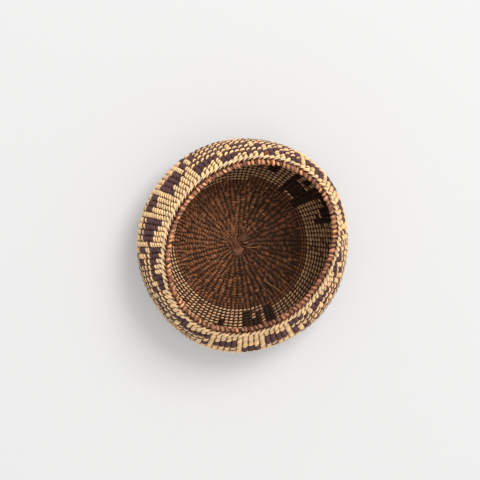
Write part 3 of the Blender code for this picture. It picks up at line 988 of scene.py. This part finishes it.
def knot_piece(run):
    """The lashing in the middle of the floor, and the ends that lie about it."""
    # The lashing's strands take painted shade, in the warps' brown, on their borders
    lashing = fibre("knot_fibre", ((0.0, KNOT_BROWN), (1.0, KNOT_ROSE)),
                    roughness=0.5, spread=0.3, ends=1.0, streaks=0.9, border_shade_colour=WARP_BROWN)
    hair = fibre("loose_fibre", ((0.0, HAIR_TAN), (1.0, KNOT_BROWN)),
                 roughness=0.5, spread=0.2, ends=1.0)
    turns = np.linspace(LAID_TURN, math.pi - LAID_TURN, LAID_SPOTS)
    girth = LAID_GIRTH + (1.0 - LAID_GIRTH) * np.sin(turns) ** 0.5
    groups = (
        ("start_knot_lashing", KNOT_STRANDS, KNOT_STRAND, lashing, ("start_knot",)),
        ("floor_strands", FLOOR_STRANDS, FLOOR_STRAND, lashing, ()),
        ("loose_fibres", LOOSE_FIBRES, LOOSE_FIBRE, hair, ()),
    )
    for name, strands, sizes, look, nodes in groups:
        lines = [laid_line(*strand) for strand in strands]
        piece = grown(name, line_mesh(name, lines, [girth] * len(lines)), run,
                      {**sizes, "Fibre": look})
        finish_piece(piece, "brown_root", *nodes)


# Camera, table and light

def camera():
    """Looks down at the bowl as the photograph does."""
    back = Vector((math.sin(VIEW_LEAN) * math.cos(VIEW_SIDE),
                   math.sin(VIEW_LEAN) * math.sin(VIEW_SIDE), math.cos(VIEW_LEAN)))
    right = Vector((0.0, 1.0, 0.0)).cross(back).normalized()
    up = back.cross(right)
    lens = bpy.data.cameras.new("view")
    lens.sensor_width = SENSOR
    lens.lens = SENSOR * VIEW_DISTANCE / (PHOTO_SIDE * PIXEL_SIZE)
    lens.shift_x = -AIM_PIXELS[0] / PHOTO_SIDE
    lens.shift_y = AIM_PIXELS[1] / PHOTO_SIDE
    lens.clip_start = VIEW_NEAR
    lens.clip_end = VIEW_FAR
    viewer = bpy.data.objects.new("view", lens)
    turned = Matrix((right, up, back)).transposed().to_4x4()
    stand = Vector((0.0, 0.0, BELLY_HEIGHT)) + back * VIEW_DISTANCE
    viewer.matrix_world = Matrix.Translation(stand) @ turned
    bpy.context.scene.collection.objects.link(viewer)
    bpy.context.scene.camera = viewer


def paper():
    """Pale paper that the eye sees a little lighter than the light makes it."""
    material = bpy.data.materials.new("pale_table")
    material.use_nodes = True
    tree = Nodes(material.node_tree)
    shader = material.node_tree.nodes["Principled BSDF"]
    shader.inputs["Base Color"].default_value = TABLE_COLOUR
    shader.inputs["Roughness"].default_value = TABLE_ROUGHNESS
    shader.inputs["Specular IOR Level"].default_value = TABLE_SPECULAR
    rays = tree.add("ShaderNodeLightPath").node.outputs
    seen = tree.math("ADD", rays["Is Camera Ray"], rays["Is Glossy Ray"], use_clamp=True)
    seen = tree.math("ADD", seen, rays["Is Transmission Ray"], use_clamp=True)
    glow = tree.add("ShaderNodeEmission", {"Color": TABLE_GLOW})
    blend = tree.add("ShaderNodeMixShader", {
        0: tree.math("MULTIPLY", seen, TABLE_LIFT), 1: shader.outputs[0], 2: glow})
    tree.join(blend, material.node_tree.nodes["Material Output"].inputs["Surface"])
    return material


def pale_table():
    """Plain pale table under the bowl."""
    mesh = bpy.data.meshes.new("table")
    far = TABLE_REACH
    mesh.from_pydata([(-far, -far, 0.0), (far, -far, 0.0), (far, far, 0.0), (-far, far, 0.0)],
                     [], [(0, 1, 2, 3)])
    mesh.materials.append(paper())
    table = bpy.data.objects.new("table", mesh)
    bpy.context.scene.collection.objects.link(table)


def room_light():
    """Even light from all round."""
    world = bpy.data.worlds.new("soft_room")
    world.use_nodes = True
    background = world.node_tree.nodes["Background"]
    background.inputs["Color"].default_value = (1.0, 1.0, 1.0, 1.0)
    background.inputs["Strength"].default_value = ROOM_LIGHT
    bpy.context.scene.world = world
    bpy.context.scene.view_settings.view_transform = "Standard"


def window_light():
    """A soft window on one side."""
    lamp = bpy.data.lights.new("window_light", "AREA")
    lamp.shape = "SQUARE"
    lamp.size = KEY_WIDTH
    lamp.energy = KEY_POWER
    key = bpy.data.objects.new("window_light", lamp)
    towards = Vector((math.cos(KEY_SIDE) * math.cos(KEY_HEIGHT),
                      math.sin(KEY_SIDE) * math.cos(KEY_HEIGHT), math.sin(KEY_HEIGHT)))
    key.location = towards * KEY_DISTANCE
    key.rotation_euler = towards.to_track_quat("Z", "Y").to_euler()
    bpy.context.scene.collection.objects.link(key)


# The making
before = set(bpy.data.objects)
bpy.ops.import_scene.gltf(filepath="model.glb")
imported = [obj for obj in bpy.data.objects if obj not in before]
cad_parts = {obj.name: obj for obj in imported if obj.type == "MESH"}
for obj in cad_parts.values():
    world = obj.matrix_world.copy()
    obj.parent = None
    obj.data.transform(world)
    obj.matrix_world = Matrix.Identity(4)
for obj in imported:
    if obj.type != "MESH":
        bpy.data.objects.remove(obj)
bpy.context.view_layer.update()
camera()
laid_strands = stitch_tree()
run_strands = length_tree()
weave_pieces(laid_strands)
rim_pieces(laid_strands, run_strands)
warp_piece(run_strands)
knot_piece(run_strands)
pale_table()
room_light()
window_light()
